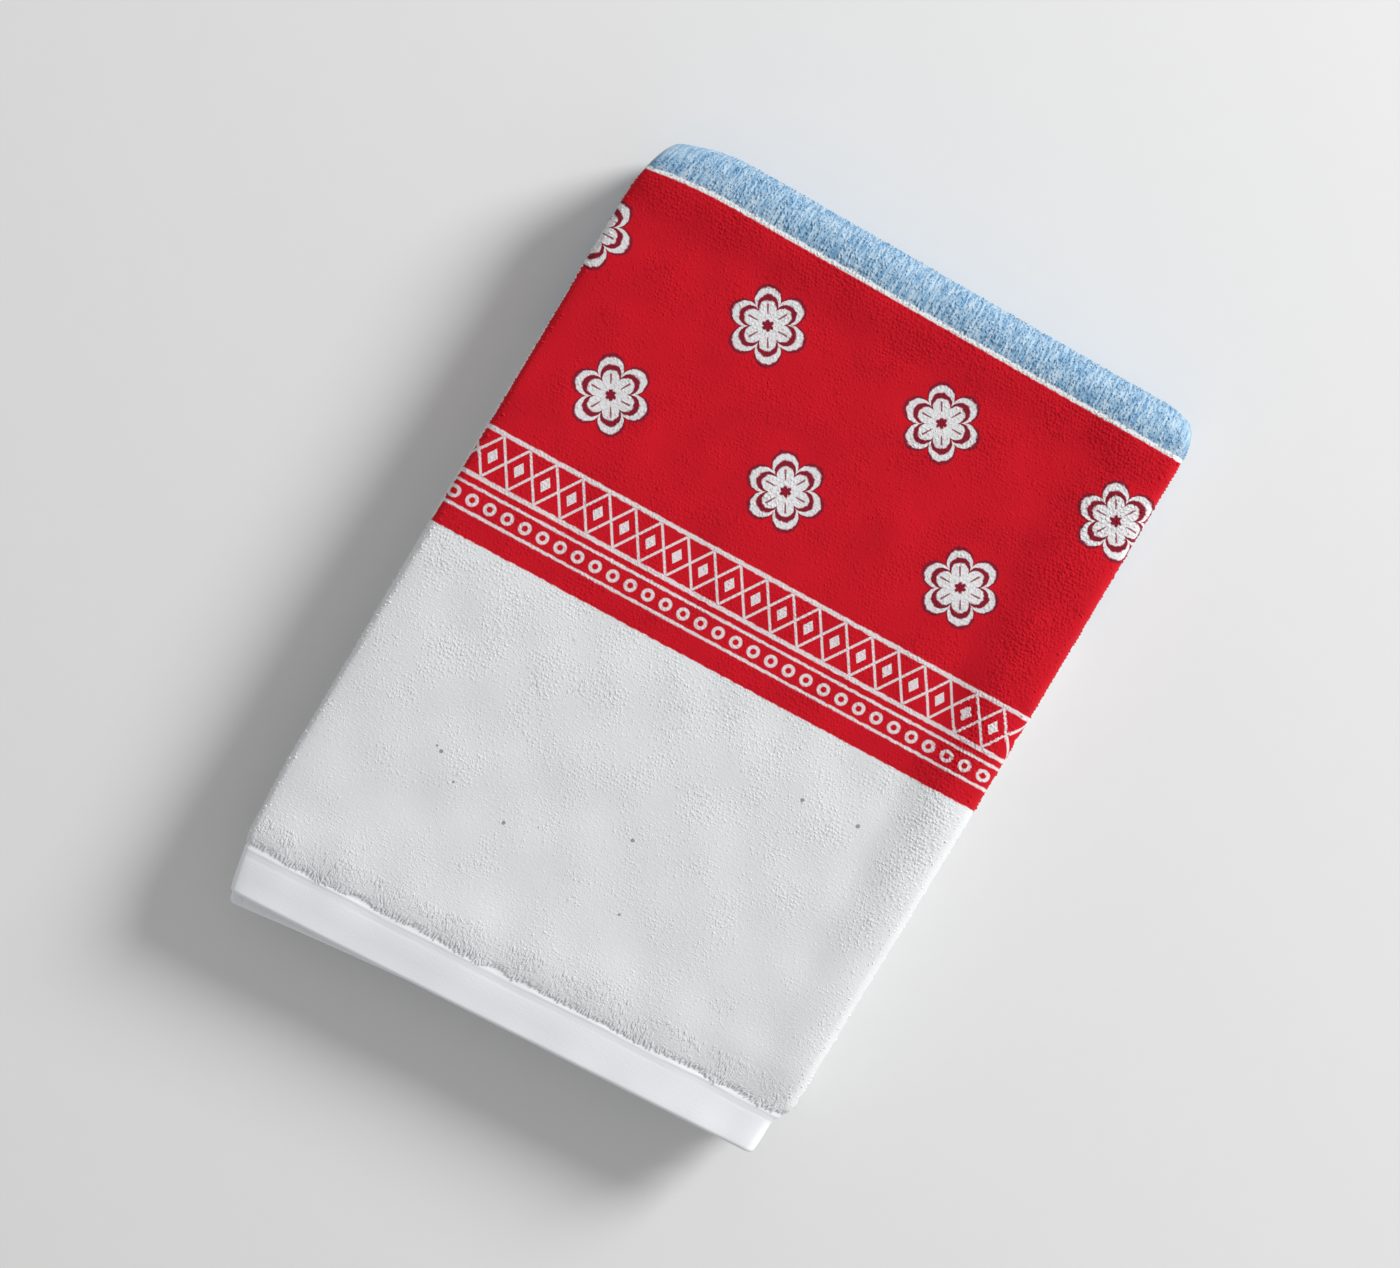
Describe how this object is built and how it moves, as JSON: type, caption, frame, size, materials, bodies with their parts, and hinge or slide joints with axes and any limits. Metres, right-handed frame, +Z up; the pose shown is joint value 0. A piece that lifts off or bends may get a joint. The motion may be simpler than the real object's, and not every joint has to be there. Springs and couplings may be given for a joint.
{
  "type": "folded bath towel",
  "caption": "Terry bath towel folded in three across its width and twice along its length into a flat pack, with plain hems at one end and a thick rounded fold at the other",
  "frame": {"origin": "middle of the towel in plan, on the surface that it lies on", "axes": "+X across the pack, +Y from the hemmed ends to the thick fold, +Z up"},
  "size_m": [0.274, 0.4052, 0.0445],
  "materials": {
    "terry": "matte looped cotton pile, white with a red and light blue printed end, plain smooth white hems"
  },
  "bodies": {
    "root": {"towel": "terry"}
  },
  "joints": []
}
